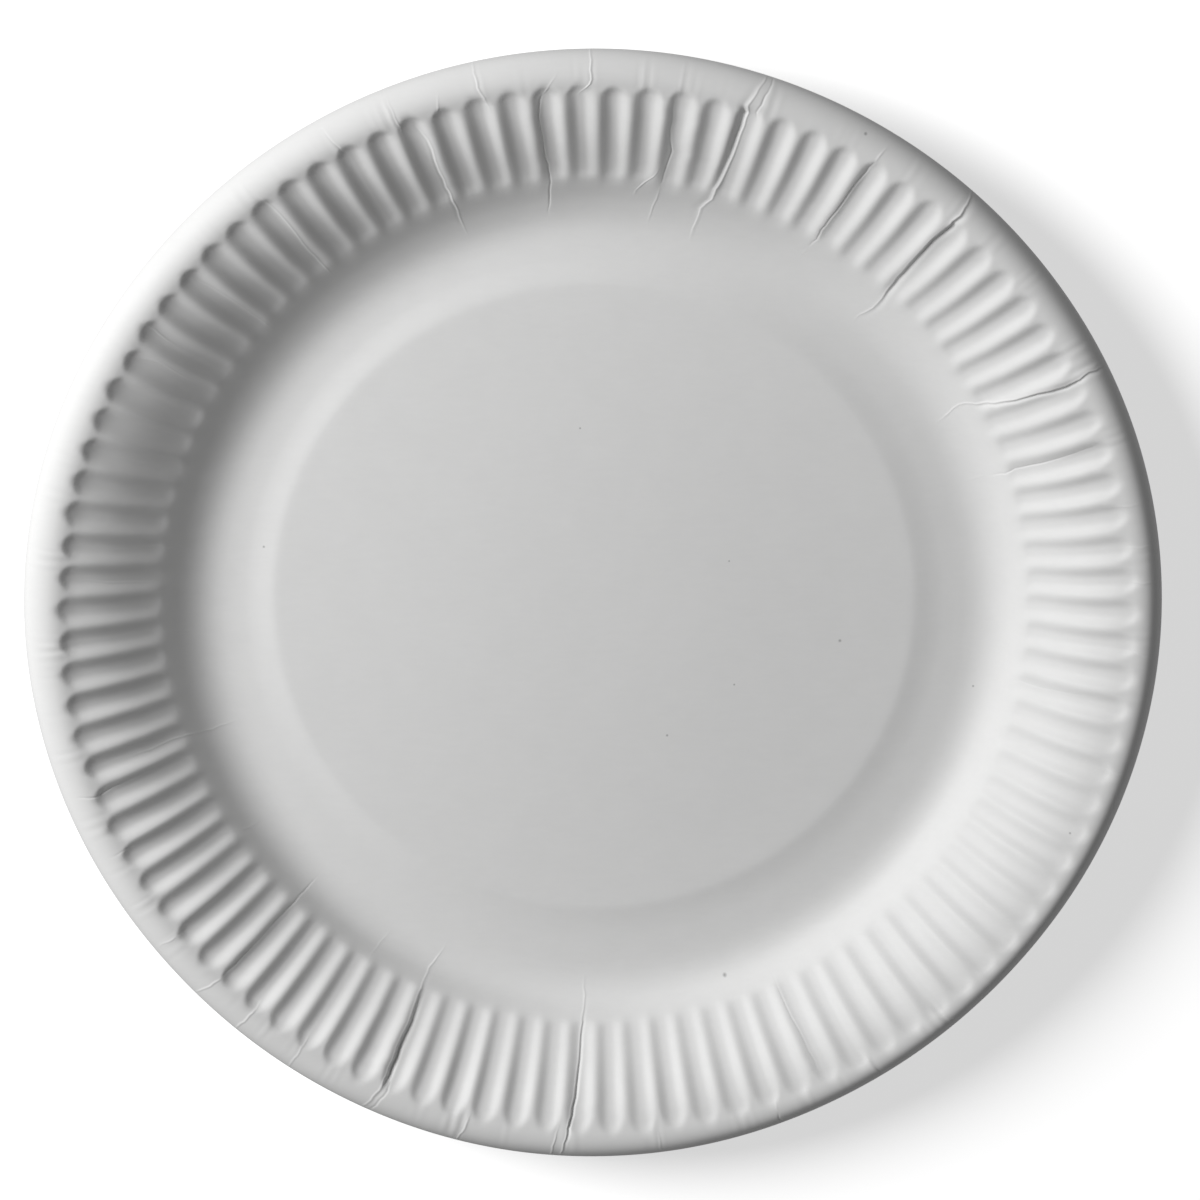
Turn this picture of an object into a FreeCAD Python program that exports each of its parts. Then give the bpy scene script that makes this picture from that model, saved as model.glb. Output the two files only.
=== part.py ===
import FreeCAD, Part
import Sketcher
import os
import re

# Pressed paper plate with a fluted rim, modelled in millimetres.
# The plate stands on z = 0, its axis is Z, and its top faces +Z.
# It is one sheet of paperboard, pressed between two dies, and the model is made that way:
# the solid under the board's top face, less the solid under its lower face, leaves one
# flute pitch of board, from the axis to the edge, which is then repeated round the axis.
# Each pitch is flat across, so a circle is as many short sides as there are flutes, within
# 0.06 mm of round, and the bends of the section are short runs between points on an arc.
# The band of flutes bends at a knee half way, as it flattens towards the lip. That keeps
# the faces of a plate with a hundred flutes on both sides of its board few.

doc = FreeCAD.newDocument("PaperPlate")

# Driving sizes, lengths in millimetres and angles in degrees.
# Widths are set from the edge inwards, and the flat centre is what they leave.
DRIVING_SIZES = [
    ("plate_diameter", 230.0, "over the edge of the lip"),
    ("plate_height", 20.0, "from the table to the top of the lip"),
    ("board_thickness", 0.45, "thickness of the paperboard"),
    ("lip_roll", 4.5, "radius of the rolled lip, on top"),
    ("lip_turn", 80.0, "how far the lip turns down at its edge"),
    ("band_width", 19.4, "radial width of the fluted band"),
    ("band_slope", 25.8, "slope of the ridges on the outer half of the band"),
    ("band_foot_slope", 36.3, "slope of the ridges on its inner half"),
    ("wall_width", 10.0, "radial width of the wall, from the channel to the flutes"),
    ("wall_bend", 10.0, "radius of the bend from the channel into the wall, on top"),
    ("channel_width", 4.5, "flat ring that the plate stands on"),
    ("bevel_width", 8.5, "radial width of the slope up to the centre"),
    ("disc_rise", 1.5, "height of the centre over the channel round it"),
    ("flutes_in_part", 5.0, "flutes in the smallest part that is repeated"),
    ("parts_in_sector", 5.0, "such parts in one sector"),
    ("sectors", 4.0, "equal sectors round the rim"),
    ("flute_depth", 1.25, "from the top of a ridge down to the floor of a groove"),
    ("groove_floor", 0.9, "width of a groove's floor"),
    ("flank_width", 1.45, "width of the flank between floor and crown"),
    ("crown_width", 0.75, "width of a ridge's rounded side, beside its flat top"),
    ("crown_slope", 12.0, "slope of a ridge's rounded side"),
    ("shoulder_slope", 58.0, "slope of the lip's shoulder, where a groove ends"),
    ("die_margin", 3.0, "how far the shapes of the dies run past the board"),
]

# Sizes that follow from them
DERIVED_SIZES = [
    ("edge_radius", "plate_diameter / 2"),
    ("crest_radius", "edge_radius - lip_roll * sin(lip_turn)"),
    ("roll_height", "plate_height - lip_roll"),
    ("ridge_end_radius", "crest_radius - lip_roll * sin(band_slope)"),
    ("ridge_end_height", "roll_height + lip_roll * cos(band_slope)"),
    ("knee_radius", "ridge_end_radius - band_width / 2"),
    ("knee_height", "ridge_end_height - band_width / 2 * tan(band_slope)"),
    ("knee_slope", "(band_foot_slope + band_slope) / 2"),
    ("knee_turn", "(band_foot_slope - band_slope) / 2"),
    ("knee_out", "sin(knee_slope) / cos(knee_turn)"),
    ("knee_down", "cos(knee_slope) / cos(knee_turn)"),
    ("ridge_start_height", "knee_height - band_width / 2 * tan(band_foot_slope)"),
    ("foot_radius", "ridge_end_radius - band_width - wall_width"),
    ("bevel_radius", "foot_radius - channel_width"),
    ("disc_radius", "bevel_radius - bevel_width"),
    ("bend_height", "board_thickness + wall_bend"),
    ("wall_rise", "ridge_start_height - bend_height"),
    ("wall_sight", "sqrt(wall_width^2 + wall_rise^2)"),
    ("wall_slope", "(atan2(wall_rise; wall_width) + asin(wall_bend / wall_sight)) / 1 deg"),
    ("groove_start", "foot_radius + wall_bend * sin(wall_slope / 2)"),
    ("bevel_mitre", "board_thickness * tan(atan(disc_rise / bevel_width) / 2)"),
    ("under_roll", "lip_roll - board_thickness"),
    ("under_bend", "wall_bend + board_thickness"),
    ("flute_count", "flutes_in_part * parts_in_sector * sectors"),
    ("pitch_angle", "360 / flute_count"),
    ("slab_width", "2 * plate_diameter * tan(pitch_angle / 2)"),
    ("crown_drop", "crown_width * tan(crown_slope)"),
    ("flank_slope", "atan((flute_depth - crown_drop) / flank_width) / 1 deg"),
    ("flank_foot", "groove_floor / 2"),
    ("flank_top", "flank_foot + flank_width"),
    ("crown_top", "flank_top + crown_width"),
]

sheet = doc.addObject("Spreadsheet::Sheet", "Sizes")
for row, (alias, size, meaning) in enumerate(DRIVING_SIZES, start=1):
    sheet.set(f"A{row}", alias)
    sheet.set(f"B{row}", str(size))
    sheet.set(f"C{row}", meaning)
    sheet.setAlias(f"B{row}", alias)
doc.recompute()
for row, (alias, formula) in enumerate(DERIVED_SIZES, start=len(DRIVING_SIZES) + 1):
    sheet.set(f"A{row}", alias)
    sheet.set(f"B{row}", "=" + formula)
    sheet.setAlias(f"B{row}", alias)
    doc.recompute()

CELLS = {entry[0]: "Sizes." + entry[0] for entry in DRIVING_SIZES + DERIVED_SIZES}


def bound(formula):
    """The formula with each size's name pointing at its cell in the sheet."""
    return re.sub("[a-z_]+", lambda word: CELLS.get(word[0], word[0]), formula)


def value(formula):
    """The formula's number, as the sheet gives it now."""
    return float(sheet.evalExpression(bound(formula)))


def origin_part(body, role):
    """One of the body's own origin planes or axes."""
    return [part for part in body.Origin.OriginFeatures if part.Role == role][0]


def new_sketch(body, name, plane, offset="0"):
    """An empty sketch on one of the body's own planes, moved along the plane's normal."""
    sketch = body.newObject("Sketcher::SketchObject", name)
    sketch.AttachmentSupport = [(origin_part(body, plane), "")]
    sketch.MapMode = "FlatFace"
    sketch.setExpression("AttachmentOffset.Base.z", bound(offset))
    return sketch


def draw_outline(sketch, corners):
    """A closed outline of straight sides through corners, each a pair of formulas."""
    places = [FreeCAD.Vector(value(across), value(up), 0) for across, up in corners]
    sides = [sketch.addGeometry(Part.LineSegment(place, places[(index + 1) % len(places)]), False)
             for index, place in enumerate(places)]
    for index, side in enumerate(sides):
        sketch.addConstraint(Sketcher.Constraint("Coincident", sides[index - 1], 2, side, 1))
    for side, place, (across, up) in zip(sides, places, corners):
        for kind, formula, distance in (("DistanceX", across, place.x), ("DistanceY", up, place.y)):
            constraint = Sketcher.Constraint(kind, -1, 1, side, 1, distance)
            index = sketch.addConstraint(constraint)
            sketch.setExpression(f"Constraints[{index}]", bound(formula))


def bend(centre, radius, angles):
    """Corners on an arc round the centre, at angles from straight up, clockwise."""
    across, up = centre
    return [(f"{across} + {radius} * sin({angle})", f"{up} + {radius} * cos({angle})")
            for angle in angles]


def padded(body, name, corners):
    """The outline, drawn in the XZ plane, as a slab wider than one pitch."""
    sketch = new_sketch(body, name + "Profile", "XZ_Plane")
    draw_outline(sketch, corners)
    feature = body.newObject("PartDesign::Pad", name)
    feature.Profile = sketch
    feature.Midplane = True
    feature.setExpression("Length", bound("slab_width"))
    feature.Refine = False
    doc.recompute()
    return feature


def wall_corners(roll):
    """One face of the board from the channel into the wall."""
    return bend(("foot_radius", "bend_height"), roll,
                ["180", "(180 - wall_slope / 2)", "(180 - wall_slope)"])


def lip_corners(roll):
    """One face of the board from the end of the ridges over the crest to the edge."""
    return bend(("crest_radius", "roll_height"), roll,
                ["(0 - band_slope)", "0", "(lip_turn / 3)", "(lip_turn * 2 / 3)", "lip_turn"])


def cut_groove(body, name, slope, thickness, run_end, run_top):
    """Cuts one groove along a run of the band that has this slope and ends at run_end and
    run_top. In the groove's section, this face of the board lies below the top by the
    thickness over the cosine of the slope at the knee, and each corner moves along its mitre."""
    under = f"({thickness} / cos(knee_slope))"
    between = "((flank_slope + crown_slope) / 2)"
    turn = "((flank_slope - crown_slope) / 2)"
    level = f"{run_top} - ({run_end} - groove_start) * tan({slope})"
    outer = f"crown_top + crown_width + {under} * tan(crown_slope / 2)"
    half = [
        (f"flank_foot + {under} * tan(flank_slope / 2)", f"{level} - flute_depth"),
        (f"flank_top + {under} * sin{between} / cos{turn}",
         f"{level} - crown_drop + {under} * (1 - cos{between} / cos{turn})"),
        (outer, f"{level} + crown_drop"),
        (outer, "plate_height + die_margin"),
    ]
    sketch = new_sketch(body, name + "Section", "YZ_Plane", "groove_start")
    draw_outline(sketch, half + [(f"0 - ({across})", up) for across, up in reversed(half)])
    feature = body.newObject("PartDesign::Pocket", name)
    feature.Profile = sketch
    feature.UseCustomVector = True
    feature.AlongSketchNormal = False
    feature.Direction = FreeCAD.Vector(1, 0, 0)
    feature.setExpression("Direction.x", bound(f"cos({slope})"))
    feature.setExpression("Direction.z", bound(f"sin({slope})"))
    feature.setExpression("Length",
                          bound(f"({run_end} + die_margin - groove_start) / cos({slope})"))
    feature.Refine = False
    doc.recompute()


def die_shape(body, name, face, mitre, bend_radius, lip_radius, thickness, depth, end):
    """The solid under one face of the board, wider than one pitch, with its groove cut.
    face is the height of that face over the channel's underside, mitre how far the corners of
    the bevel move in, thickness how far the face lies under the top of the board, depth how
    far the solid goes down, and end the corners that close it beyond the lip's edge."""
    wall = wall_corners(bend_radius)
    lip = lip_corners(lip_radius)
    (bend_end, bend_top), (band_end, band_top) = wall[-1], lip[0]
    knee_end = f"(knee_radius + {thickness} * knee_out)"
    knee_top = f"(knee_height - {thickness} * knee_down)"
    rise = f"({knee_top} - ({bend_top}) - ({knee_end} - ({bend_end})) * tan(band_foot_slope))"
    reach = f"({rise} / (tan(wall_slope) - tan(band_foot_slope)))"
    padded(body, name + "Dish", [
        ("0", f"disc_rise + {face}"),
        (f"disc_radius - {mitre}", f"disc_rise + {face}"),
        (f"bevel_radius - {mitre}", face),
        *wall,
        (f"{bend_end} + {reach}", f"{bend_top} + {reach} * tan(wall_slope)"),
        (knee_end, knee_top),
        (band_end, band_top),
        (band_end, f"0 - {depth}"),
        ("0", f"0 - {depth}"),
    ])
    cut_groove(body, name + "InnerGroove", "band_foot_slope", thickness, knee_end, knee_top)
    cut_groove(body, name + "OuterGroove", "band_slope", thickness,
               f"({band_end})", f"({band_top})")
    shoulder_foot = f"{band_end} - ({band_top} + {depth}) / tan(shoulder_slope)"
    padded(body, name + "Lip", [(shoulder_foot, f"0 - {depth}"), *lip, *end])


def repeated(body, name, copies, step, refine=False):
    """The whole body so far, repeated round Z, with step degrees from copy to copy. Refining
    joins the flat faces that meet in one plane."""
    feature = body.newObject("PartDesign::PolarPattern", name)
    feature.TransformMode = "Whole shape"
    feature.Axis = (origin_part(body, "Z_Axis"), [""])
    feature.Mode = "Spacing"
    feature.setExpression("Offset", bound(step))
    feature.setExpression("Occurrences", bound(copies))
    feature.Refine = refine
    body.Tip = feature
    doc.recompute()


# The plate's body starts as the solid under the top face of the board
plate = doc.addObject("PartDesign::Body", "Plate")
plate.Label = "plate"
edge_end, edge_up = lip_corners("under_roll")[-1]
die_shape(plate, "Top", "board_thickness", "0", "wall_bend", "lip_roll", "0", "die_margin",
          [(edge_end, edge_up), (edge_end, "0 - die_margin")])

# The lower die is the solid under the board, and what it leaves of the first is the board
lower_die = doc.addObject("PartDesign::Body", "LowerDie")
lower_die.Label = "lower_die"
die_shape(lower_die, "Under", "0", "bevel_mitre", "under_bend", "under_roll",
          "board_thickness", "2 * die_margin",
          [(f"{edge_end} + die_margin", f"{edge_up} - die_margin"),
           (f"{edge_end} + die_margin", "0 - 2 * die_margin")])
pressing = plate.newObject("PartDesign::Boolean", "Pressing")
pressing.setObjects([lower_die])
pressing.Type = "Cut"
pressing.Refine = False

# Two planes through the axis trim the board to one pitch
beyond = "(edge_radius + die_margin)"
trim_side = f"{beyond} * tan(pitch_angle / 2)"
trim = new_sketch(plate, "PitchTrim", "XY_Plane")
draw_outline(trim, [
    ("0", "0"), (beyond, trim_side), (beyond, "slab_width"), (f"0 - {beyond}", "slab_width"),
    (f"0 - {beyond}", "0 - slab_width"), (beyond, "0 - slab_width"), (beyond, f"0 - {trim_side}"),
])
pitch = plate.newObject("PartDesign::Pocket", "Pitch")
pitch.Profile = trim
pitch.Type = "ThroughAll"
pitch.Midplane = True
pitch.Refine = False
doc.recompute()

# The pitch goes round the axis in three steps, which is quicker than one of a hundred
repeated(plate, "FlutePart", "flutes_in_part", "pitch_angle")
repeated(plate, "RimSector", "parts_in_sector", "flutes_in_part * pitch_angle")
repeated(plate, "WholeRim", "sectors", "360 / sectors", refine=True)

for item in doc.Objects:
    if "Invalid" in item.State or "Error" in item.State:
        raise RuntimeError(f"{item.Name} is {item.State}")

shape = plate.Shape
if shape.isNull() or not shape.isValid() or len(shape.Solids) != 1:
    raise RuntimeError("the plate isn't one valid solid")
os.makedirs("parts", exist_ok=True)
shape.exportStep(f"parts/{plate.Label}.step")
print(f"{plate.Label}: {shape.Volume:.0f} mm3, {len(shape.Faces)} faces, box {shape.BoundBox}")
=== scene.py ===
# %% [markdown]
# A paper plate, pressed from one sheet of white coated board. A nearly flat centre lies a
# little above the ring that the plate stands on, a wall curves up out of that ring, a hundred
# flutes take up the paper that the round shape leaves over, and the rim ends in a rolled
# lip. Where the flutes couldn't take all of it, the board is creased. This notebook builds
# that sheet as one closed mesh, worked out from a section and a plan, and then gives it a
# paper finish, a floor, a soft light and a camera.

# %% The frame
import math

import bpy
import numpy as np
from mathutils import Matrix, Vector


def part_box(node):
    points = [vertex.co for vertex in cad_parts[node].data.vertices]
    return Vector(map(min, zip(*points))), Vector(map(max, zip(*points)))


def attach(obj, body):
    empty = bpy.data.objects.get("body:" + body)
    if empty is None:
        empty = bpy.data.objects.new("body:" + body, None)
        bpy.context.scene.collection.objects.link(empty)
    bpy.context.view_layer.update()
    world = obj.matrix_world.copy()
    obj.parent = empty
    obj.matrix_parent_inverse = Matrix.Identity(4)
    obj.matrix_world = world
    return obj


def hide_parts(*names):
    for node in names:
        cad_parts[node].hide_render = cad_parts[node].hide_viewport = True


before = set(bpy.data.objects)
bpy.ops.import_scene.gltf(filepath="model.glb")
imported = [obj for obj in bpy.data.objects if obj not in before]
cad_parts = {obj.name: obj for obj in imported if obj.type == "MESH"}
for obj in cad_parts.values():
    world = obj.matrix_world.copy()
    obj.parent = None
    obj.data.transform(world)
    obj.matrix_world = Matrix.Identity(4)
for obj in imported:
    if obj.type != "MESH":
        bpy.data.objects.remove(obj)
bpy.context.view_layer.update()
plate_low, plate_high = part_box("plate")

MM = 0.001
EDGE_RADIUS = (plate_high[0] - plate_low[0]) / 2 / MM
HEIGHT = plate_high[2] / MM
print(f"plate: {2 * EDGE_RADIUS:.1f} mm across, {HEIGHT:.1f} mm high")

# %% [markdown]
# The section. Every smooth plate is one line turned round an axis, so that line comes
# first: the centre with its slight dome, a bevel down to the standing ring, the wall, the
# fluted band and the lip. It could be a curve object with a Spin, but the flutes and creases
# have to push it about later, so it is kept as numbers: a run of corners, each rounded by
# its own radius, and a function that gives the point at any distance along it.

# %% The corners of the section, in millimetres
BOARD = 0.45
CENTRE_HEIGHT = 2.9
DOME_CORNER, DOME_BEND = 24.0, 1300.0
DISC_RADIUS, DISC_HEIGHT = 65.8, 1.85
BEVEL_CORNER = (70.6, 0.95)
RING_INNER, RING_OUTER = 76.8, 78.0
WALL_BEND = 10.5
RIDGE_START, KNEE, SHOULDER = (88.7, 7.5), (96.6, 14.4), 103.2
SHOULDER_SLOPE = math.radians(15)
LIP_ROLL, LIP_TURN = 5.0, math.radians(80)

crest_radius = EDGE_RADIUS - LIP_ROLL * math.sin(LIP_TURN)
ridge_end = (crest_radius - LIP_ROLL * math.sin(SHOULDER_SLOPE),
             HEIGHT - LIP_ROLL + LIP_ROLL * math.cos(SHOULDER_SLOPE))
wall_across = RIDGE_START[0] - RING_OUTER
wall_up = RIDGE_START[1] - BOARD - WALL_BEND
wall_slope = math.atan2(wall_up, wall_across) + math.asin(WALL_BEND / math.hypot(wall_across, wall_up))
lip_tangent = LIP_ROLL * math.tan((SHOULDER_SLOPE + LIP_TURN) / 2)
shoulder_height = ridge_end[1] - (ridge_end[0] - SHOULDER) * math.tan(SHOULDER_SLOPE)
edge = (EDGE_RADIUS, HEIGHT - LIP_ROLL + LIP_ROLL * math.cos(LIP_TURN))

SECTION_CORNERS = [
    ((0.0, CENTRE_HEIGHT), 0.0),
    ((DOME_CORNER, CENTRE_HEIGHT), DOME_BEND),
    ((DISC_RADIUS, DISC_HEIGHT), 7.0),
    (BEVEL_CORNER, 16.0),
    ((RING_INNER, BOARD), 20.0),
    ((RING_OUTER + WALL_BEND * math.tan(wall_slope / 2), BOARD), WALL_BEND),
    (RIDGE_START, 1.8),
    (KNEE, 40.0),
    ((SHOULDER, shoulder_height), 26.0),
    ((ridge_end[0] + lip_tangent * math.cos(SHOULDER_SLOPE),
      ridge_end[1] + lip_tangent * math.sin(SHOULDER_SLOPE)), LIP_ROLL),
    (edge, 0.0),
]
print(f"wall slope {math.degrees(wall_slope):.1f} degrees, lip crest at {crest_radius:.1f} mm")


# %% The rounded line through them
def rounded_line(corners, steps=24):
    """Points along straight runs whose corners are arcs. Each arc touches both of its runs
    at radius times tan(half the turn) from the corner, and turns evenly between them."""
    points = [np.array(corners[0][0])]
    for (before, _), (corner, radius), (after, _) in zip(corners, corners[1:], corners[2:]):
        corner = np.array(corner)
        inward = (corner - before) / np.linalg.norm(corner - before)
        outward = (after - corner) / np.linalg.norm(after - corner)
        turn = math.atan2(inward[0] * outward[1] - inward[1] * outward[0], inward @ outward)
        start = corner - inward * radius * math.tan(abs(turn) / 2)
        side = np.array([-inward[1], inward[0]]) * math.copysign(1, turn)
        angles = np.linspace(0, abs(turn), steps)[:, None]
        arc = start + radius * (np.sin(angles) * inward + (1 - np.cos(angles)) * side)
        points.extend(arc)
    points.append(np.array(corners[-1][0]))
    return np.array(points)


section = rounded_line(SECTION_CORNERS)
section_length = np.concatenate([[0], np.cumsum(np.linalg.norm(np.diff(section, axis=0), axis=1))])


def section_point(distance):
    """Radius and height at a distance along the section, straight between its points."""
    return (np.interp(distance, section_length, section[:, 0]),
            np.interp(distance, section_length, section[:, 1]))


def distance_at(radius):
    """The distance along the section where it has that radius."""
    return np.interp(radius, section[:, 0], section_length)


END = section_length[-1]
print(f"section: {END:.1f} mm long from the centre to the edge")

# %% [markdown]
# The flutes. In plan each groove is a long slot with a round outer end, and across it the
# board is a soft wave. So the depth is a product: a wave round the plate, a slow rise from
# the wall outwards, and a round end under the lip. Sculpting a hundred of them by hand
# would never stay even, and a bump map would leave the edge of the shape flat. Each groove
# is a little unlike the next, as damp board never takes the die exactly, and both the depth
# and the spacing change slowly round the plate.

# %% Small tools for smooth, repeatable variation
rng = np.random.default_rng(23)


def smooth(value):
    """Zero below 0, one above 1, and an even S curve, 3t^2 - 2t^3, between."""
    t = np.clip(value, 0, 1)
    return t * t * (3 - 2 * t)


def soft_band(radius, start, stop, reach):
    """One between two radii and zero outside them, rising and falling over a reach."""
    return smooth((radius - start) / reach) * (1 - smooth((radius - stop) / reach))


def ripples(angle, lowest, highest, waves):
    """A sum of sine waves round the plate, with whole numbers of waves between the lowest
    and the highest, each with a random start, scaled to about one."""
    counts = rng.integers(lowest, highest + 1, waves)
    starts = rng.uniform(0, 2 * math.pi, waves)
    total = sum(np.sin(count * angle + start) for count, start in zip(counts, starts))
    return total / math.sqrt(waves / 2)


def read_round(values, angle):
    """Values spread evenly round the plate, read at an angle, straight between them."""
    places = np.linspace(0, 2 * math.pi, len(values) + 1)
    return np.interp(angle % (2 * math.pi), places, np.append(values, values[0]))


# %% The flutes, in millimetres and, where the first groove lies and how they drift, in pitches
FLUTES = 100
FIRST_GROOVE = 0.45782
RIDGE_POWER = 1.5
DEPTH_RADII = [88, 90, 92, 95, 103, 106, 108]
DEPTHS = [0.45, 0.58, 0.76, 0.95, 1.16, 0.95, 0.62]
DEPTH_ROUND = [0.85, 1.03, 1.06, 1.02, 1.12, 1.25, 1.32, 1.32, 1.1, 0.8, 0.68, 0.78]
END_ROUND = [109.7, 109.1, 109.0, 109.1, 109.3, 109.3,
             109.3, 109.3, 109.2, 109.2, 109.7, 110.1]
START_RADIUS, START_REACH = 86.8, 3.0
END_REACH, END_DRAWN_BACK = 1.9, 12.0
KNOB_HEIGHT, KNOB_RADIUS, KNOB_REACH = 0.1, 90.2, 1.3
DRIFT_RADII, DRIFTS, DRIFT_TOWARDS = [92, 108], [0.42, 0.27], math.radians(14)
groove_depths = 1 + rng.uniform(-0.12, 0.12, FLUTES)
groove_ends = rng.uniform(-0.35, 0.35, FLUTES)
groove_starts = rng.uniform(-0.5, 0.5, FLUTES)


def pitch_drift(radius, angle):
    """How far the flutes have drifted from even spacing, in pitches: one slow wave round the
    plate, a little stronger at their inner ends."""
    return -np.interp(radius, DRIFT_RADII, DRIFTS) * np.cos(angle - DRIFT_TOWARDS)


def flute_drop(radius, angle):
    """How far the board lies below its smooth section. The height of a ridge is a raised
    cosine to a power, which leaves the grooves broad and round and the ridges between them
    narrower; the depth grows outwards and ebbs again under the lip; the slot's end is drawn
    back at its sides by the square of the distance from its middle, which makes it round in
    plan. A ridge starts with a small knob where it leaves the wall."""
    turns = angle / (2 * math.pi) * FLUTES - FIRST_GROOVE - pitch_drift(radius, angle)
    nearest = np.round(turns)
    across = turns - nearest
    number = nearest.astype(int) % FLUTES
    wave = 1 - (0.5 - 0.5 * np.cos(2 * math.pi * across)) ** RIDGE_POWER
    depth = np.interp(radius, DEPTH_RADII, DEPTHS) * read_round(DEPTH_ROUND, angle)
    end_radius = read_round(END_ROUND, angle) + groove_ends[number] - END_DRAWN_BACK * across**2
    start = smooth((radius - START_RADIUS - groove_starts[number]) / START_REACH)
    end = smooth((end_radius - radius) / END_REACH)
    knob = KNOB_HEIGHT * (1 - wave) * np.exp(-((radius - KNOB_RADIUS) / KNOB_REACH) ** 2)
    return depth * groove_depths[number] * wave * start * end - knob


# %% [markdown]
# The creases. Each one is a line across the band, the lip or both, given by the points that
# it runs through. Along it, the board is raised in a thread or sunk in a crack, a few tenths
# of a millimetre wide, and in the folds one side also drops away beside the line, where the
# board has gone under. They could be a texture, but they catch the light and break the
# outline of the grooves, so they are part of the mesh. Each starts with its kind, the side
# that drops (1 is anticlockwise, -1 clockwise) and how far that side reaches.

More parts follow.
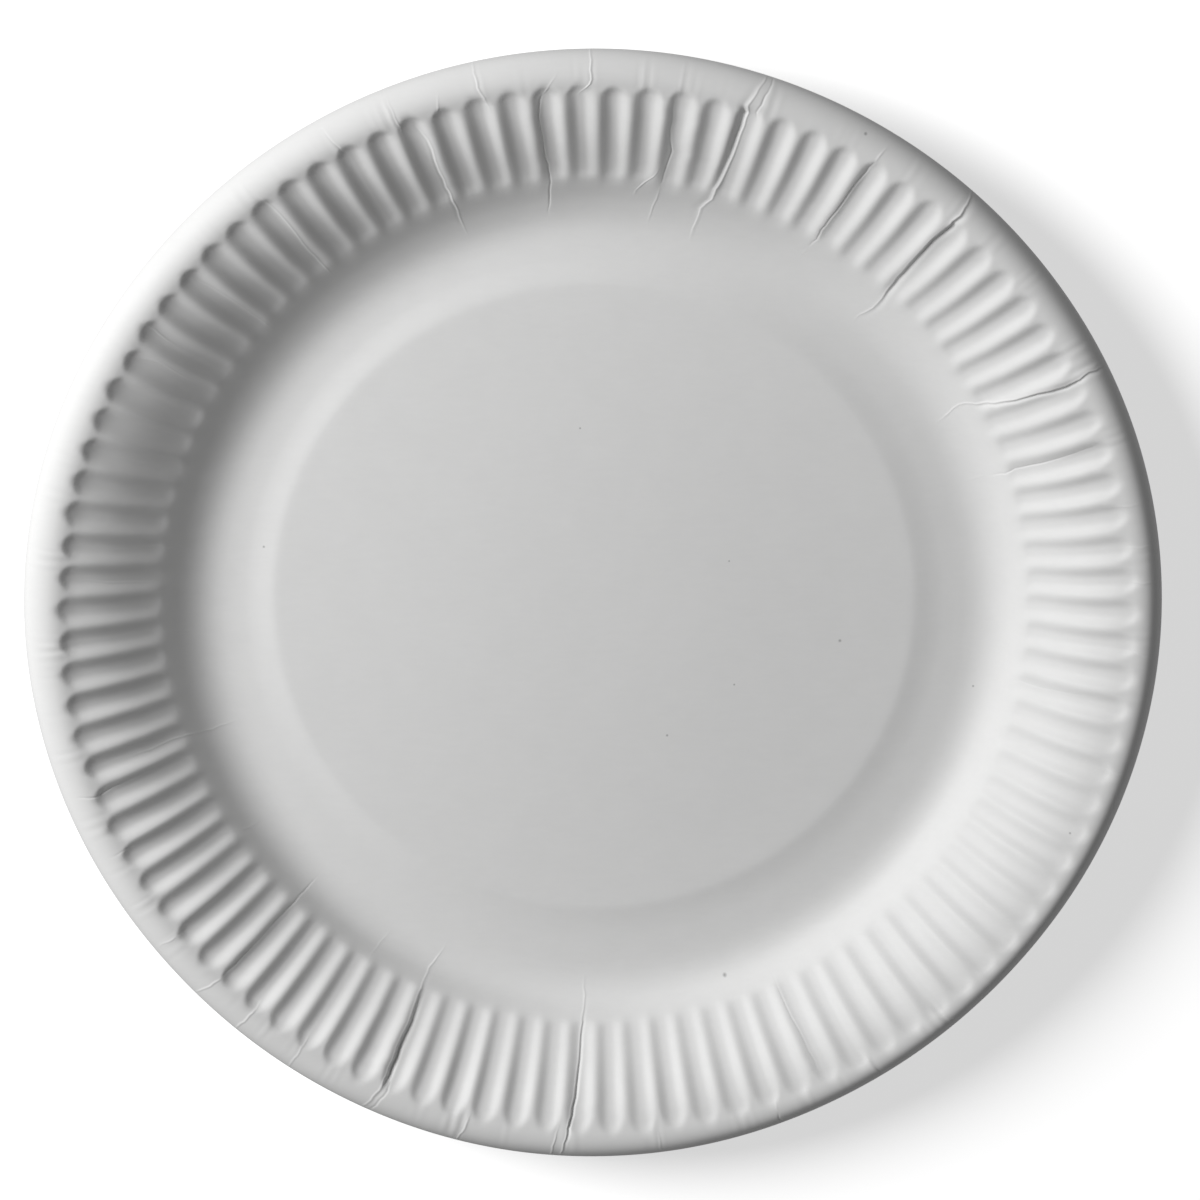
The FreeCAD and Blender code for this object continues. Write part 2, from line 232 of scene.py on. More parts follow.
# %% The creases: radius, angle, thread height and drop, in millimetres and degrees
CREASES = [
    ("lip", 0, 1.0, [(107.7, 4.1, 0, 0), (109.3, 4, 0.07, 0), (114.4, 3.8, 0, 0)]),
    ("lip", 0, 1.0, [(107.2, 7.9, 0, 0), (109.3, 7.8, 0.06, 0), (113.3, 7.7, 0, 0)]),
    ("lip", 0, 1.0, [(105.2, 12.6, 0, 0), (108.2, 12.4, 0.06, 0), (112.4, 12.2, 0, 0)]),
    ("crack", 0, 1.0, [(79.8, 19.56, 0, 0), (83.8, 19.47, 0.05, 0), (87.8, 18.56, -0.12, 0),
                       (99, 19, -0.16, 0), (104.2, 19.4, -0.1, 0), (107.2, 19.5, 0, 0)]),
    ("fold", -1, 1.3, [(80.5, 29.06, 0, 0), (82, 29.43, 0.08, 0), (84.2, 29.81, 0.14, 0),
                       (85.8, 29.92, 0.14, 0), (88.1, 28.77, 0.16, 0.05), (91.1, 27.9, 0.16, 0.2),
                       (94.1, 27.6, 0.14, 0.4), (99.2, 27.4, 0.1, 0.55), (103.6, 27, 0.1, 0.55),
                       (107, 26.9, 0.12, 0.4), (110.3, 27.3, 0.12, 0.12), (114.8, 26.9, 0.08, 0)]),
    ("fold", -1, 1.7, [(80.8, 48.65, 0, 0), (81.8, 48.64, 0.1, 0), (84.9, 47.79, 0.12, 0.1),
                       (89.2, 48.09, 0.08, 0.4), (94.2, 48.6, 0.06, 0.6), (101.3, 49.1, 0.06, 0.75),
                       (107.2, 48.8, 0.1, 0.6), (110.6, 48.7, 0.14, 0.15), (114.8, 49.1, 0.1, 0)]),
    ("crack", 0, 1.0, [(84.2, 60.38, 0, 0), (85.5, 60.14, 0.05, 0), (88.2, 59.55, -0.14, 0),
                       (103, 59.5, -0.2, 0), (107.6, 59.2, -0.12, 0), (109.4, 59.1, 0.12, 0),
                       (112.4, 58.9, 0, 0)]),
    ("fold", 1, 2.3, [(80.3, 75.76, 0, 0), (81.3, 75.76, 0.12, 0), (83.1, 75.44, 0.16, 0),
                      (85.2, 75.45, 0.16, 0.05), (87.7, 74.21, 0.2, 0.2), (93, 73.6, 0.14, 0.55),
                      (101.6, 73.4, 0.12, 0.85), (107.2, 73.4, 0.14, 0.9),
                      (108.8, 73.7, 0.14, 0.15), (114.8, 72.7, 0.12, 0)]),
    ("lip", 0, 1.0, [(106.2, 72.4, 0, 0), (108.2, 72.6, -0.14, 0), (114.8, 71.9, -0.08, 0)]),
    ("crack", 0, 1.0, [(81.5, 82.2, 0, 0), (83.1, 81.99, 0.08, 0), (86.1, 81.41, 0.08, 0),
                       (90, 81.01, -0.1, 0), (95.8, 80.6, -0.14, 0), (98.4, 81.1, -0.12, 0),
                       (107.2, 81.4, 0, 0)]),
    ("thread", 0, 1.0, [(86.3, 84.67, 0, 0), (87.3, 83.95, 0.12, 0), (89.4, 82.31, 0.1, 0),
                        (90.9, 81.7, 0, 0)]),
    ("lip", 0, 1.0, [(106.6, 91.7, 0, 0), (107.8, 90.9, 0.1, 0), (109.2, 90.2, 0.14, 0),
                     (114.8, 90.3, 0.1, 0)]),
    ("crack", 0, 1.0, [(80.9, 96.63, 0, 0), (82.1, 96.54, 0.07, 0), (84.1, 96.17, -0.14, 0),
                       (86.4, 95.83, -0.16, 0), (89.4, 95.59, -0.14, 0), (94.9, 96, -0.2, 0),
                       (101, 96.1, -0.24, 0), (105.2, 95.9, -0.24, 0), (107.7, 95.1, 0.1, 0),
                       (111.2, 93.7, 0, 0)]),
    ("lip", 0, 1.0, [(105.4, 101.2, 0, 0), (106.6, 101.3, 0.16, 0), (110.6, 101.9, 0.14, 0),
                     (114.8, 102, 0.06, 0)]),
    ("lip", 0, 1.0, [(107, 106.8, 0, 0), (108.6, 106.5, 0.09, 0), (111.6, 106, 0, 0)]),
    ("fold", 1, 1.0, [(81.3, 108.15, 0, 0), (83.9, 108.31, 0.1, 0), (87.3, 108.45, 0.14, 0.1),
                      (91.3, 108.7, 0.16, 0.25), (96.6, 108.7, 0.16, 0.3),
                      (101.8, 108.5, 0.12, 0.2), (105.9, 109.2, 0, 0)]),
    ("lip", 0, 1.0, [(105.4, 110.9, 0, 0), (107, 110.9, 0.12, 0), (109.6, 111, 0.08, 0),
                     (114, 111.1, 0, 0)]),
    ("lip", 0, 1.0, [(107.4, 117.5, 0, 0), (109, 117.7, -0.13, 0), (113.5, 118.4, 0, 0)]),
    ("thread", 0, 1.0, [(86.7, 127.32, 0, 0), (88.8, 127.58, 0.12, 0), (94.6, 127.6, 0.15, 0),
                        (99.4, 127.1, 0.15, 0), (105.2, 127.2, 0.14, 0), (110, 127.5, 0, 0)]),
    ("thread", 0, 1.0, [(87.1, 138.21, 0, 0), (89.9, 138.46, 0.08, 0), (98.7, 138.3, 0.08, 0),
                        (105.8, 138.8, 0, 0)]),
    ("thread", 0, 1.0, [(101.6, 146.5, 0, 0), (104.6, 146.1, 0.14, 0), (109.8, 145.7, 0, 0)]),
    ("thread", 0, 1.0, [(93.2, 149.5, 0, 0), (95.2, 149.4, 0.1, 0), (101.9, 148.9, 0.1, 0),
                        (106.8, 149.8, 0, 0)]),
    ("crack", 0, 1.0, [(93.4, 161.3, 0, 0), (96.4, 161.1, -0.09, 0), (103.6, 161, 0, 0)]),
    ("thread", 0, 1.0, [(82.2, 170.12, 0, 0), (87.5, 171.66, 0.07, 0), (101.6, 172.4, 0, 0)]),
    ("thread", 0, 1.0, [(87.5, 176.77, 0, 0), (95.6, 176.3, 0.06, 0), (105.6, 175.6, 0, 0)]),
    ("thread", 0, 1.0, [(81, 183.29, 0, 0), (85.3, 183.07, 0.06, 0), (89.8, 183.24, 0, 0)]),
    ("thread", 0, 1.0, [(77.6, 197.91, 0, 0), (80.8, 197.86, 0.06, 0), (87.9, 197.87, 0.1, 0),
                        (95.4, 197.7, 0.12, 0), (99.2, 197.4, 0, 0)]),
    ("crack", 0, 1.0, [(98.2, 200, 0, 0), (100.7, 199.9, -0.12, 0), (105.4, 199.9, -0.22, 0),
                       (107.8, 200.2, -0.2, 0), (112.3, 199.4, 0, 0)]),
    ("lip", 0, 1.0, [(105.7, 206.8, 0, 0), (107.8, 206.8, -0.07, 0), (111.8, 206.8, 0, 0)]),
    ("thread", 0, 1.0, [(82.5, 212.96, 0, 0), (85.3, 213.13, 0.07, 0), (90.3, 211.98, 0, 0)]),
    ("lip", 0, 1.0, [(105.8, 218.1, 0, 0), (107.2, 218, -0.14, 0), (109.8, 217.9, 0.1, 0),
                     (113.7, 217.6, 0, 0)]),
    ("crack", 0, 1.0, [(81.8, 224.82, 0, 0), (84.2, 224.89, -0.1, 0), (89.6, 225.34, -0.16, 0),
                       (97.3, 224.9, -0.22, 0), (105.8, 224.7, -0.22, 0), (108.8, 224.6, 0.12, 0),
                       (114, 224, 0.1, 0)]),
    ("lip", 0, 1.0, [(106.2, 229.8, 0, 0), (108, 229.8, 0.12, 0), (114.1, 229.6, 0.12, 0)]),
    ("lip", 0, 1.0, [(106.2, 236.4, 0, 0), (107.6, 236.4, 0.08, 0), (114, 236.4, 0.08, 0)]),
    ("thread", 0, 1.0, [(81.1, 238.37, 0, 0), (84.1, 237.99, 0.06, 0), (90.6, 238, 0, 0)]),
    ("fold", 1, 1.6, [(79.5, 246.74, 0, 0), (80.8, 246.55, 0.12, 0), (84, 245.92, 0.14, 0),
                      (90, 246.08, 0.14, 0.1), (94.6, 246.2, 0.16, 0.6), (101, 246, 0.16, 0.95),
                      (105.4, 246.1, 0.16, 0.9), (108, 246.1, 0.14, 0.15),
                      (113.9, 245.3, 0.12, 0)]),
    ("lip", 0, 1.0, [(106.2, 246.9, 0, 0), (108.3, 246.9, -0.14, 0), (113.9, 246.1, -0.1, 0)]),
    ("lip", 0, 1.0, [(107.3, 256.3, 0, 0), (109.6, 256.2, 0.1, 0), (113.9, 255.6, 0.12, 0)]),
    ("lip", 0, 1.0, [(107.3, 266.2, 0, 0), (109.8, 265.8, 0.1, 0), (113.9, 265.5, 0.1, 0)]),
    ("fold", 1, 1.0, [(78.9, 268.46, 0, 0), (81, 268.46, 0.08, 0), (83.8, 268.67, 0.1, 0),
                      (90.4, 268.2, 0.1, 0.25), (98.4, 267.9, 0.08, 0.4), (102.8, 267.6, 0.08, 0.5),
                      (107.6, 267.1, 0.1, 0.45), (110.8, 266.8, 0.12, 0.1),
                      (113.9, 266.5, 0.12, 0)]),
    ("lip", 0, 1.0, [(108.8, 277, 0, 0), (110.8, 277, 0.07, 0), (114, 277, 0.05, 0)]),
    ("lip", 0, 1.0, [(107.8, 290.3, 0, 0), (109.9, 290, 0.08, 0), (111.9, 289.9, -0.14, 0),
                     (114, 289.9, -0.1, 0)]),
    ("crack", 0, 1.0, [(84.9, 295.53, 0, 0), (90.8, 295.2, -0.08, 0), (102.9, 295.8, -0.07, 0),
                       (106.8, 295.8, 0, 0)]),
    ("lip", 0, 1.0, [(106.8, 300.9, 0, 0), (108.9, 301.3, 0.06, 0), (112, 301.6, -0.12, 0),
                     (114.1, 301.8, -0.08, 0)]),
    ("lip", 0, 1.0, [(108.4, 310.6, 0, 0), (111, 310.9, -0.14, 0), (114.2, 311.3, -0.1, 0)]),
    ("lip", 0, 1.0, [(107.1, 343.6, 0, 0), (109.2, 343.3, -0.07, 0), (113.2, 343.3, 0, 0)]),
    ("crack", 0, 1.0, [(86.8, 349.97, 0, 0), (92.2, 349.8, -0.07, 0), (104.1, 350.9, 0, 0)]),
    ("lip", 0, 1.0, [(106.6, 356.7, 0, 0), (108.7, 356.5, -0.12, 0), (113.8, 355.8, 0, 0)]),
]
kinds = [crease[0] for crease in CREASES]
print("creases:", ", ".join(f"{kinds.count(kind)} {kind}" for kind in ("fold", "crack", "thread", "lip")))

# %% Their shape
THREAD_WIDTH = 0.2
FOLD_THREAD, LONE_THREAD = 0.62, 0.85
TOP_SHARP, UNDER_SHARP = 0.42, 0.5
WANDERS = [(0.09, 1.9), (0.05, 4.7)]
HEIGHT_CHANGE, HEIGHT_WAVES = 0.33, 3.1
wander_starts = rng.uniform(0, 2 * math.pi, (len(CREASES), 3))


def crease_line(number, radius):
    """A crease's angle, thread height and drop at each radius. Between its points the line
    runs straight, apart from a wander of a tenth of a millimetre, which is two sine waves
    along the radius, and its height comes and goes by a third."""
    points = np.array(CREASES[number][3], dtype=float)
    *starts, last = wander_starts[number]
    wander = sum(size * np.sin(radius * waves + start) for (size, waves), start in zip(WANDERS, starts))
    angle = np.radians(np.interp(radius, points[:, 0], points[:, 1])) + wander / radius
    height = np.interp(radius, points[:, 0], points[:, 2], left=0, right=0)
    drop = np.interp(radius, points[:, 0], points[:, 3], left=0, right=0)
    return angle, height * (1 + HEIGHT_CHANGE * np.sin(radius * HEIGHT_WAVES + last)), drop


def crease_shape(radius, angle, sharp):
    """Height of the threads and cracks, and drop of the folds, at each point. A thread is
    the bell exp(-(x / width)^2) of the distance x across it, and lower where it edges a
    fold. A fold drops steeply beside the line, over the part "sharp" of its reach, and
    climbs back slowly over the rest."""
    line_up = np.zeros(np.broadcast(radius, angle).shape)
    fold_down = np.zeros_like(line_up)
    for number, (_, side, reach, _) in enumerate(CREASES):
        centre, height, drop = crease_line(number, radius)
        turn = (angle - centre + math.pi) % (2 * math.pi) - math.pi
        x = turn * radius
        line_up += (FOLD_THREAD if side else LONE_THREAD) * height * np.exp(-(x / THREAD_WIDTH) ** 2)
        if side:
            u = side * x / reach
            fold_down += drop * smooth(u / sharp) * (1 - smooth((u - sharp / 2) / (1 - sharp / 2)))
    return line_up, fold_down


# %% [markdown]
# The whole surface is then one function of two numbers: the distance along the section and
# the angle round the axis. It also takes in what keeps a real plate from looking turned on
# a lathe: a rim that waves and isn't quite round, a standing ring and a lip that were
# pressed a little off centre, a centre that is not quite flat, and fine wrinkles where the
# ends of the grooves gather the board under the lip.

# %% The surface of the board
TABLE_SIZE = 4096
all_round = np.linspace(0, 2 * math.pi, TABLE_SIZE, endpoint=False)
rim_wave = ripples(all_round, 2, 5, 6)
wrinkle_wave = ripples(all_round, 240, 420, 24)
wrinkle_place = smooth(0.2 + 0.8 * ripples(all_round, 20, 90, 20))
wrinkle_reach = ripples(all_round, 60, 200, 12)
hollow_x, hollow_y, hollow_turn = rng.uniform(-0.055, 0.055, (3, 7))
CENTRE_WAVE, CENTRE_FADE = 0.05, 12
HOLLOW_WAVES, HOLLOW_START = 1200, 90
WRINKLE_HEIGHT, WRINKLE_START, WRINKLE_END = 0.03, 105, 114.5
WRINKLE_FADE, WRINKLE_RAGGED = 4, 0.6
RIM_WAVE, RIM_WAVE_START, RIM_WAVE_REACH = 0.22, 80, 35
RING_SHIFT, RING_BAND = 2.0, (68, 82, 9)
LIP_SHIFT, LIP_BAND, LIP_TOWARDS = 0.8, (105, 110.5, 4), math.radians(-35)
RIM_OUT_START, RIM_OUT_REACH = 106, 8
RIM_OUT = [0.10, 0.25, -0.1, -0.18, 0.05, -0.04, -0.26, -0.3, 0.36,
           0.5, 0.06, -0.36, 0.0, 0.55, 0.45, -0.45, -0.9, -0.4]
blur = np.hanning(300)
rim_out = np.tile(read_round(RIM_OUT, all_round), 3)
rim_out = np.convolve(rim_out, blur / blur.sum(), "same")[TABLE_SIZE:2 * TABLE_SIZE]


def centre_rise(x, y):
    """A gentle unevenness of the flat centre: a few long sine waves in random directions."""
    total = sum(np.sin(HOLLOW_WAVES * (across * x + up * y) + HOLLOW_START * turn)
                for across, up, turn in zip(hollow_x, hollow_y, hollow_turn))
    return CENTRE_WAVE * total / math.sqrt(len(hollow_x) / 2)


def board_surface(distance, angle, with_lines, sharp):
    """Points of the board's top in millimetres: the section turned round the axis, less the
    flutes and folds, plus threads, wrinkles and the slow waves of the rim and the centre."""
    radius, height = section_point(distance)
    radius, angle = np.broadcast_arrays(radius, angle)
    line_up, fold_down = crease_shape(radius, angle, sharp)
    ragged_end = WRINKLE_END + WRINKLE_RAGGED * read_round(wrinkle_reach, angle)
    wrinkles = (smooth((radius - WRINKLE_START) / WRINKLE_FADE)
                * smooth((ragged_end - radius) / WRINKLE_FADE)
                * read_round(wrinkle_wave, angle) * read_round(wrinkle_place, angle))
    wave = read_round(rim_wave, angle) * smooth((radius - RIM_WAVE_START) / RIM_WAVE_REACH)
    out = radius + read_round(rim_out, angle) * smooth((radius - RIM_OUT_START) / RIM_OUT_REACH)
    out = out + LIP_SHIFT * soft_band(radius, *LIP_BAND) * np.cos(angle - LIP_TOWARDS)
    x = out * np.cos(angle)
    y = out * np.sin(angle) - RING_SHIFT * soft_band(radius, *RING_BAND)
    centre = centre_rise(x * MM, y * MM) * smooth((DISC_RADIUS - radius) / CENTRE_FADE)
    up = height - flute_drop(radius, angle) - fold_down + RIM_WAVE * wave + centre
    if with_lines:
        up = up + line_up + WRINKLE_HEIGHT * wrinkles
    return np.stack([x, y, up], axis=-1), line_up


def board_underside(distance, angle):
    """The top's points moved by the board's thickness against the normal, which is the
    cross product of the surface's slopes along the section and round the axis. Threads and
    wrinkles don't show through, and folds are softer there."""
    step, turn = 0.02, 0.0002
    top, _ = board_surface(distance, angle, False, UNDER_SHARP)
    along = (board_surface(np.minimum(distance + step, END), angle, False, UNDER_SHARP)[0]
             - board_surface(distance - step, angle, False, UNDER_SHARP)[0])
    around = (board_surface(distance, angle + turn, False, UNDER_SHARP)[0]
              - board_surface(distance, angle - turn, False, UNDER_SHARP)[0])
    normal = np.cross(along, around)
    normal /= np.linalg.norm(normal, axis=-1, keepdims=True)
    return top - BOARD * normal


# %% [markdown]
# The grid. A plain polar grid wastes faces on the smooth centre and misses creases that are
# finer than its columns. So the columns crowd together round each crease and bend with it,
# and the rings of the floor take only each fourth column, so the centre stays light. The
# underside, which has no threads, takes each second one, and each eighth in its floor.

# %% Columns that follow the creases
COLUMNS = 1896
CROWD_WIDTH = math.radians(0.42)
CROWD_SPACING = math.radians(0.075)
CREASE_GAP = math.radians(0.5)
inner_radii = np.array([crease[3][0][0] for crease in CREASES])
outer_radii = np.array([crease[3][-1][0] for crease in CREASES])
home = np.array([crease_line(number, (inner_radii[number] + outer_radii[number]) / 2)[0]
                 for number in range(len(CREASES))])
order = np.argsort(home)
home = home[order]


def columns_at_home():
    """Angles of the columns, spaced by the inverse of a density that is high near each
    crease: the running total of the density is read backwards at even steps."""
    fine = np.linspace(0, 2 * math.pi, 200001)
    away = np.abs((fine[:, None] - home[None, :] + math.pi) % (2 * math.pi) - math.pi).min(axis=1)
    crowd = 1 - smooth((away - CROWD_WIDTH) / CROWD_WIDTH)
    total_crowd = crowd.mean() * 2 * math.pi
    extra = total_crowd / CROWD_SPACING
    density = (COLUMNS - extra) / (2 * math.pi - total_crowd) * (1 - crowd) + crowd / CROWD_SPACING
    running = np.concatenate([[0], np.cumsum((density[1:] + density[:-1]) / 2 * np.diff(fine))])
    wanted = np.linspace(0, running[-1], COLUMNS, endpoint=False)
    return np.interp(wanted, running, fine)


column_home = columns_at_home()
print(f"columns: {COLUMNS}, widest {np.degrees(np.diff(column_home).max()):.2f} degrees")


def columns_at(radius):
    """The columns' angles on one ring: each crease draws its own columns to where it lies at
    this radius, no nearer to the one before than a small gap, and those between two creases
    move in proportion."""
    there = np.array([crease_line(number, np.clip(radius, inner_radii[number], outer_radii[number]))[0]
                      for number in order])
    gap = CREASE_GAP * np.arange(len(there))
    there = np.maximum.accumulate(there - gap) + gap
    shift = there - home
    angles = np.concatenate([[home[-1] - 2 * math.pi], home, [home[0] + 2 * math.pi]])
    shifts = np.concatenate([[shift[-1]], shift, [shift[0]]])
    return column_home + np.interp(column_home, angles, shifts)


# %% The rings, from the centre of the top over the edge to the centre of the underside
def spaced(start, stop, count):
    """Even steps, without the last."""
    return np.linspace(start, stop, count, endpoint=False)


top_floor = np.concatenate([spaced(distance_at(8), distance_at(60), 6),
                            distance_at(np.array([60, 64, 65.2, 66.0, 66.9, 68.4, 70.6, 72, 73.4]))])
top_wall = distance_at(np.array([76, 78, 79.8, 81.4, 82.9, 84.3, 85.5, 86.6, 87.5, 88.2, 88.8]))
top_band = distance_at(np.array([89.4, 90.2, 91.4, 93.2, 95.4, 97.8, 100.2, 102.4, 104.3, 105.8]))
top_groove_ends = distance_at(np.array([106.7, 107.3, 107.9, 108.4]))
top_lip = np.linspace(distance_at(108.9), END, 10)
top_rim = np.concatenate([top_wall, top_band, top_groove_ends, top_lip])
under_lip = np.linspace(END, distance_at(108.6), 7)
under_band = distance_at(np.array([107.7, 106.8, 105.6, 103.5, 101, 98.4, 95.8, 93.6, 91.8, 90.3]))
under_wall = distance_at(np.array([89.2, 88.3, 87.2, 85.6, 83.6, 81.6, 79.6, 77.6]))
under_rim = np.concatenate([under_lip, under_band, under_wall])
under_floor = distance_at(np.array([74.5, 72.6, 71.0, 69.0, 67.2, 66.0, 62, 45, 25, 8]))

RING_PLAN = ([("top", d, 4) for d in top_floor] + [("top", d, 1) for d in top_rim]
             + [("under", d, 2) for d in under_rim] + [("under", d, 8) for d in under_floor])
print(f"rings: {len(RING_PLAN)}")


def build_rings():
    """The points of every ring, one after the other, with the ring's thread heights, side
    and size."""
    points, threads, sides, counts = [], [], [], []
    for side, distance, step in RING_PLAN:
        radius, _ = section_point(distance)
        angle = columns_at(radius)[::step]
        distances = np.full(angle.shape, distance)
        if side == "top":
            ring, line_up = board_surface(distances, angle, True, TOP_SHARP)
        else:
            ring, line_up = board_underside(distances, angle), np.zeros(len(angle))
        points.append(ring)
        threads.append(line_up)
        sides.append(np.full(len(angle), 0.0 if side == "top" else 1.0))
        counts.append(len(angle))
    return points, threads, sides, counts


def faces_between(first, first_count, second, second_count):
    """Faces from one ring to the next. Where one has a whole number of times as many points,
    each face takes that many of them, so no gap is left."""
    few = min(first_count, second_count)
    index = np.arange(few)
    after = (index + 1) % few
    ratio = max(first_count, second_count) // few
    many = (index[:, None] * ratio + np.arange(ratio + 1)[None, :]) % (few * ratio)
    if first_count <= second_count:
        return np.hstack([first + index[:, None], second + many, first + after[:, None]]).tolist()
    return np.hstack([first + many[:, :1], second + index[:, None], second + after[:, None],
                      first + many[:, :0:-1]]).tolist()


# %% The mesh
rings, thread_heights, side_flags, ring_counts = build_rings()
starts = np.concatenate([[0], np.cumsum(ring_counts)])
top_middle = starts[-1]
under_middle = top_middle + 1
middle_height = CENTRE_HEIGHT + centre_rise(0.0, 0.0)
points = np.vstack(rings + [np.array([[0, 0, middle_height], [0, 0, middle_height - BOARD]])]) * MM
faces = []
for number in range(len(ring_counts) - 1):
    faces += faces_between(starts[number], ring_counts[number],
                           starts[number + 1], ring_counts[number + 1])
first_ring = np.arange(ring_counts[0])
faces += np.stack([np.full(ring_counts[0], top_middle), first_ring,
                   (first_ring + 1) % ring_counts[0]], axis=1).tolist()
last_ring = np.arange(ring_counts[-1])
faces += np.stack([starts[-2] + last_ring, np.full(ring_counts[-1], under_middle),
                   starts[-2] + (last_ring + 1) % ring_counts[-1]], axis=1).tolist()

mesh = bpy.data.meshes.new("pressed_board")
mesh.from_pydata(points.tolist(), [], faces)
mesh.update()
mesh.polygons.foreach_set("use_smooth", np.ones(len(mesh.polygons), dtype=bool))


def point_attribute(name, values):
    """Stores one number for each point, which the material reads by its name."""
    layer = mesh.attributes.new(name, "FLOAT", "POINT")
    layer.data.foreach_set("value", np.asarray(values, dtype=np.float32))


WORN_HEIGHT = 0.12
thread = np.concatenate(thread_heights + [np.zeros(2)])
point_attribute("crease_wear", np.clip(np.abs(thread) / WORN_HEIGHT, 0, 1))
point_attribute("underside", np.concatenate(side_flags + [np.array([0.0, 1.0])]))

# %% A crisp cut edge, with smooth shading everywhere else
edge_top = starts[len(top_floor) + len(top_rim) - 1]
edge_under = edge_top + COLUMNS
rim_points = np.zeros(len(points), dtype=bool)
rim_points[edge_top:edge_top + COLUMNS + COLUMNS // 2] = True
corner_pairs = np.zeros(len(mesh.edges) * 2, dtype=np.int32)
mesh.edges.foreach_get("vertices", corner_pairs)
corner_pairs = corner_pairs.reshape(-1, 2)
both_on_rim = rim_points[corner_pairs].all(axis=1)
same_ring = (corner_pairs[:, 0] >= edge_under) == (corner_pairs[:, 1] >= edge_under)
sharp_edges = mesh.attributes.new("sharp_edge", "BOOLEAN", "EDGE")
sharp_edges.data.foreach_set("value", both_on_rim & same_ring)

# %% The board in the scene
board = bpy.data.objects.new("pressed_board", mesh)
bpy.context.scene.collection.objects.link(board)
triangles = sum(len(face) - 2 for face in faces)
print(f"board: {len(points)} points, {triangles} triangles, highest {points[:, 2].max() / MM:.2f} mm")

# %% [markdown]
# The finish. The board is white, pressed smooth and thinly coated, so it has a soft sheen
# rather than a gloss, and only close up does one see fibres and cloudy formation. The
# underside has no coat. Where the coat has cracked along a crease the board shows whiter
# and duller. All of it is made of noise on the object's own coordinates.

# %% Paperboard
paper = bpy.data.materials.new("white_paperboard")
paper.use_nodes = True
tree = paper.node_tree
shader = tree.nodes["Principled BSDF"]


def node(kind, **settings):
    """A node with its settings, and its inputs where a name is an input's."""
    made = tree.nodes.new(kind)
    for name, value in settings.items():
        if name in made.inputs:
            made.inputs[name].default_value = value
        else:
            setattr(made, name, value)
    return made


def wire(source, target):
    """Joins an output to an input."""
    tree.links.new(source, target)


def maths(operation, *values, clamp=False):
    """One sum; a number stays a number and a socket is joined."""
    made = node("ShaderNodeMath", operation=operation, use_clamp=clamp)
    for socket, value in zip(made.inputs, values):
        if isinstance(value, (int, float)):
            socket.default_value = value
        else:
            wire(value, socket)
    return made.outputs[0]


place = node("ShaderNodeTexCoord").outputs["Object"]


def noise(scale, stretch=(1, 1, 1), detail=3.0, roughness=0.5):
    """Noise from 0 to 1, with scale in waves a metre, stretched along the axes."""
    mapping = node("ShaderNodeMapping")
    mapping.inputs["Scale"].default_value = stretch
    wire(place, mapping.inputs["Vector"])
    texture = node("ShaderNodeTexNoise", Scale=scale, Detail=detail, Roughness=roughness)
    wire(mapping.outputs[0], texture.inputs["Vector"])
    return texture.outputs["Fac"]


clouds = noise(160, detail=4.0)
fibres = noise(620, (0.45, 1.6, 1.0), 3.0, 0.65)
grain = noise(2600, detail=2.0)
wear = node("ShaderNodeAttribute", attribute_name="crease_wear").outputs["Fac"]
underside = node("ShaderNodeAttribute", attribute_name="underside").outputs["Fac"]

# %% Its colour
WHITE = 0.80
CLOUD_SHADE, FIBRE_SHADE, WORN_SHADE, BARE_SHADE = 0.035, 0.03, 0.03, 0.03
shade = maths("MULTIPLY_ADD", maths("SUBTRACT", clouds, 0.5), CLOUD_SHADE, WHITE)
shade = maths("ADD", shade, maths("MULTIPLY", maths("SUBTRACT", fibres, 0.5), FIBRE_SHADE))
shade = maths("ADD", shade, maths("MULTIPLY", wear, WORN_SHADE))
shade = maths("SUBTRACT", shade, maths("MULTIPLY", underside, BARE_SHADE))

# %% Specks in the board: place and radius, in millimetres
SPECKS = [(53.7, 98.6, 0.32), (50.6, -8.5, 0.3), (78.3, -18.5, 0.22), (27.3, -80.5, 0.4),
          (-67.7, 11.1, 0.24), (97.2, -44.9, 0.22), (15.1, -28.5, 0.24), (27.7, 8.4, 0.18),
          (-2.8, 36.1, 0.2), (28.9, -17.7, 0.2)]
SPECK_DARKNESS, SPECK_SOFTNESS = 0.45, 1.4
flat_place = node("ShaderNodeVectorMath", operation="MULTIPLY")
flat_place.inputs[1].default_value = (1, 1, 0)
wire(place, flat_place.inputs[0])
for x, y, radius in SPECKS:
    away = node("ShaderNodeVectorMath", operation="DISTANCE")
    wire(flat_place.outputs[0], away.inputs[0])
    away.inputs[1].default_value = (x * MM, y * MM, 0)
    reach = radius * SPECK_SOFTNESS * MM
    dot = maths("SUBTRACT", 1.0, maths("DIVIDE", away.outputs["Value"], reach), clamp=True)
    shade = maths("SUBTRACT", shade, maths("MULTIPLY", dot, SPECK_DARKNESS))
colour = node("ShaderNodeCombineColor")
for channel, tint in zip(colour.inputs, (1.0, 1.0, 0.995)):
    wire(maths("MULTIPLY", shade, tint), channel)
wire(colour.outputs[0], shader.inputs["Base Color"])

# %% Its sheen and its surface
DULL, GRAIN_DULL, WORN_DULL, BARE_DULL = 0.44, 0.1, 0.1, 0.25
dullness = maths("ADD", maths("MULTIPLY", grain, GRAIN_DULL), DULL)
dullness = maths("ADD", dullness, maths("MULTIPLY", wear, WORN_DULL))
wire(maths("ADD", dullness, maths("MULTIPLY", underside, BARE_DULL)), shader.inputs["Roughness"])
shader.inputs["Specular IOR Level"].default_value = 0.2

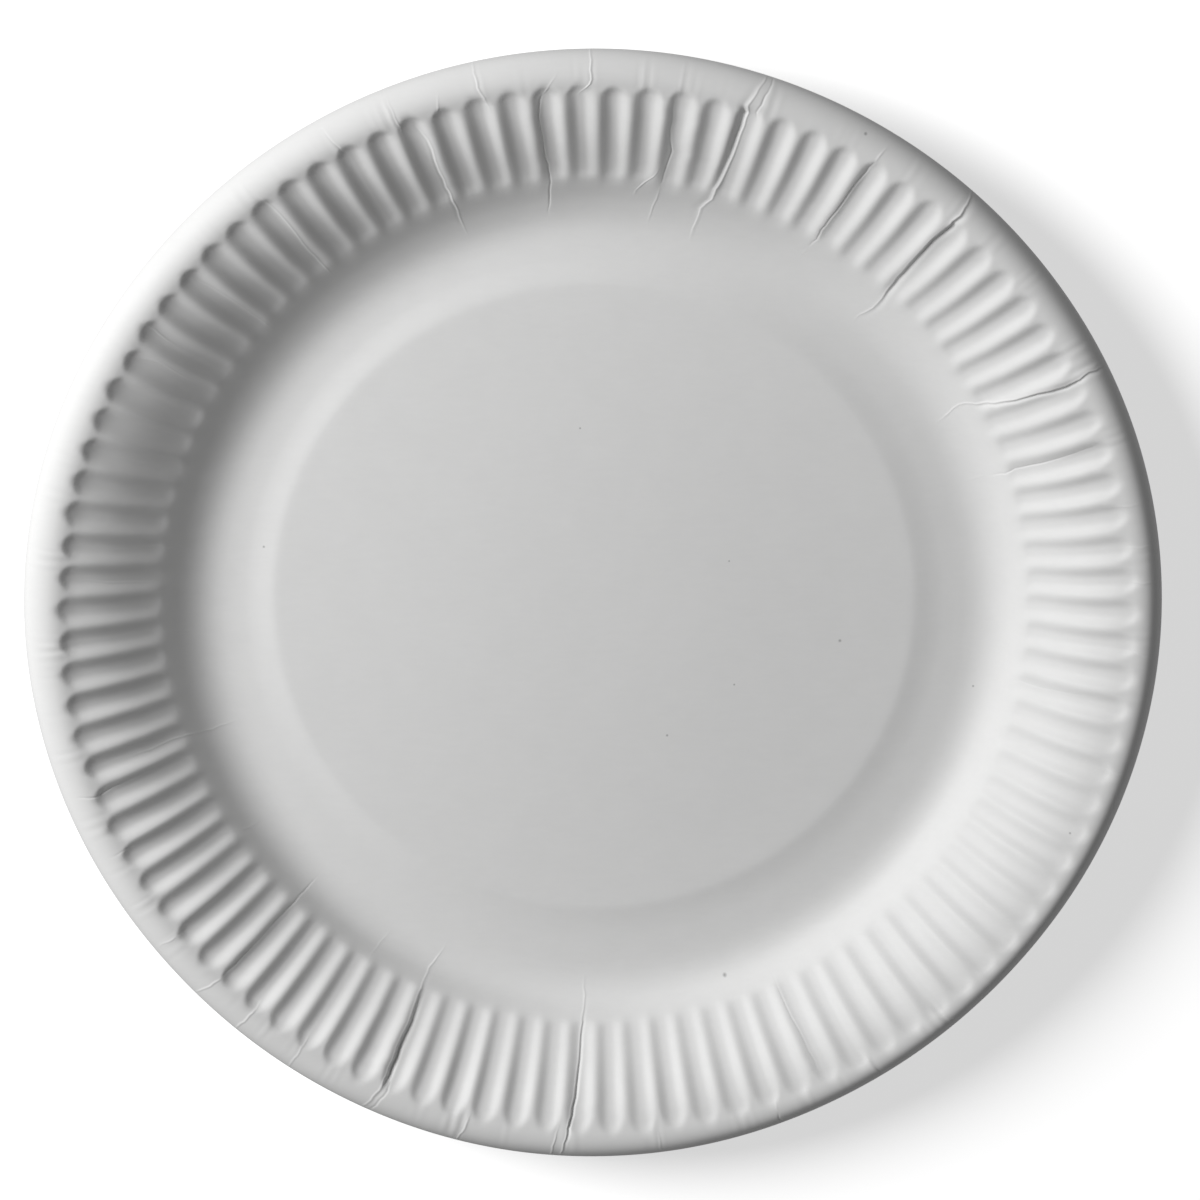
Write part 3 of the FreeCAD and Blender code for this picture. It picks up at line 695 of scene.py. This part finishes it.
FIBRE_RELIEF, GRAIN_RELIEF, CLOUD_RELIEF = 0.55, 0.2, 1.2
relief = maths("ADD", maths("MULTIPLY", fibres, FIBRE_RELIEF), maths("MULTIPLY", grain, GRAIN_RELIEF))
relief = maths("ADD", relief, maths("MULTIPLY", clouds, CLOUD_RELIEF))
bump = node("ShaderNodeBump", Strength=0.35, Distance=0.00005)
wire(relief, bump.inputs["Height"])
wire(bump.outputs[0], shader.inputs["Normal"])
mesh.materials.append(paper)

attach(board, "root")
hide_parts("plate")

# %% [markdown]
# The studio. The photograph has a plain white ground and one soft light, low from the
# upper left, that models every flute; a dim even fill keeps the far side from going black.
# A floor that is lit only by that lamp would look grey beside the plate, so it glows a
# little, as a table does that is lit from more sides. What it gives back to the plate comes
# from a second sheet in the same place, which the camera doesn't see and which throws no
# shadow, so that the ground's own tone and the light under the rim can be set one by one.

# %% The floor
FLOOR_HALF, FLOOR_LEVEL = 4.0, -0.0002
FLOOR_GREY, TABLE_GLOW = 0.93, 0.34


def glowing_finish(name, grey, roughness):
    """A plain paint that also gives out a little white light."""
    finish = bpy.data.materials.new(name)
    finish.use_nodes = True
    inputs = finish.node_tree.nodes["Principled BSDF"].inputs
    inputs["Base Color"].default_value = (grey, grey, grey, 1)
    inputs["Roughness"].default_value = roughness
    inputs["Emission Color"].default_value = (1, 1, 1, 1)
    inputs["Emission Strength"].default_value = TABLE_GLOW
    return finish


def floor_sheet(name, finish):
    """A large level square just under the plate."""
    sheet = bpy.data.meshes.new(name)
    sheet.from_pydata([(-FLOOR_HALF, -FLOOR_HALF, FLOOR_LEVEL), (FLOOR_HALF, -FLOOR_HALF, FLOOR_LEVEL),
                       (FLOOR_HALF, FLOOR_HALF, FLOOR_LEVEL), (-FLOOR_HALF, FLOOR_HALF, FLOOR_LEVEL)],
                      [], [(0, 1, 2, 3)])
    sheet.materials.append(finish)
    made = bpy.data.objects.new(name, sheet)
    bpy.context.scene.collection.objects.link(made)
    return made


floor = floor_sheet("floor", glowing_finish("pale_floor", FLOOR_GREY, 0.9))
floor.visible_diffuse = False
floor.visible_glossy = False
floor.visible_shadow = False

# %% The light that the table gives back
glow_finish = glowing_finish("table_glow", 0.0, 0.5)
glow_finish.cycles.emission_sampling = "NONE"
glow = floor_sheet("table_glow", glow_finish)
glow.visible_camera = False
glow.visible_shadow = False

# %% The light
LIGHT_AZIMUTH, LIGHT_ELEVATION, LIGHT_AWAY = math.radians(155), math.radians(37), 1.05
LIGHT_SIZE, LIGHT_ENERGY, FILL = 0.58, 11.0, 0.114
toward_light = Vector((math.cos(LIGHT_AZIMUTH) * math.cos(LIGHT_ELEVATION),
                       math.sin(LIGHT_AZIMUTH) * math.cos(LIGHT_ELEVATION), math.sin(LIGHT_ELEVATION)))
key_data = bpy.data.lights.new("key", "AREA")
key_data.shape = "DISK"
key_data.size = LIGHT_SIZE
key_data.energy = LIGHT_ENERGY
key = bpy.data.objects.new("key", key_data)
key.location = toward_light * LIGHT_AWAY
key.rotation_mode = "QUATERNION"
key.rotation_quaternion = toward_light.to_track_quat("Z", "Y")
bpy.context.scene.collection.objects.link(key)

world = bpy.data.worlds.new("studio")
world.use_nodes = True
world.node_tree.nodes["Background"].inputs["Color"].default_value = (1, 1, 1, 1)
world.node_tree.nodes["Background"].inputs["Strength"].default_value = FILL
bpy.context.scene.world = world
bpy.context.scene.view_settings.view_transform = "Standard"

# %% [markdown]
# The camera looks down on the plate, leaning thirteen degrees towards the top of the
# picture, through a long lens. Its place comes from the photograph: how much narrower the
# plate's outline is one way than the other gives the lean, and where the centre disc lies
# inside that outline gives the distance.

# %% The camera
LEAN, ROLL = math.radians(13.10), math.radians(-0.07)
AWAY, SIDEWAYS, UPWARDS = 1.0, 0.00124, -0.00040
SENSOR, FOCAL_PIXELS, PICTURE_PIXELS = 36.0, 4858, 1200
camera_data = bpy.data.cameras.new("camera")
camera_data.sensor_width = SENSOR
camera_data.lens = SENSOR * FOCAL_PIXELS / PICTURE_PIXELS
camera_data.clip_start, camera_data.clip_end = 0.01, 20
camera = bpy.data.objects.new("camera", camera_data)
turned = Matrix.Rotation(-LEAN, 4, "X") @ Matrix.Rotation(-ROLL, 4, "Y")
camera.matrix_world = turned @ Matrix.Translation((SIDEWAYS, UPWARDS, AWAY))
bpy.context.scene.collection.objects.link(camera)
bpy.context.scene.camera = camera
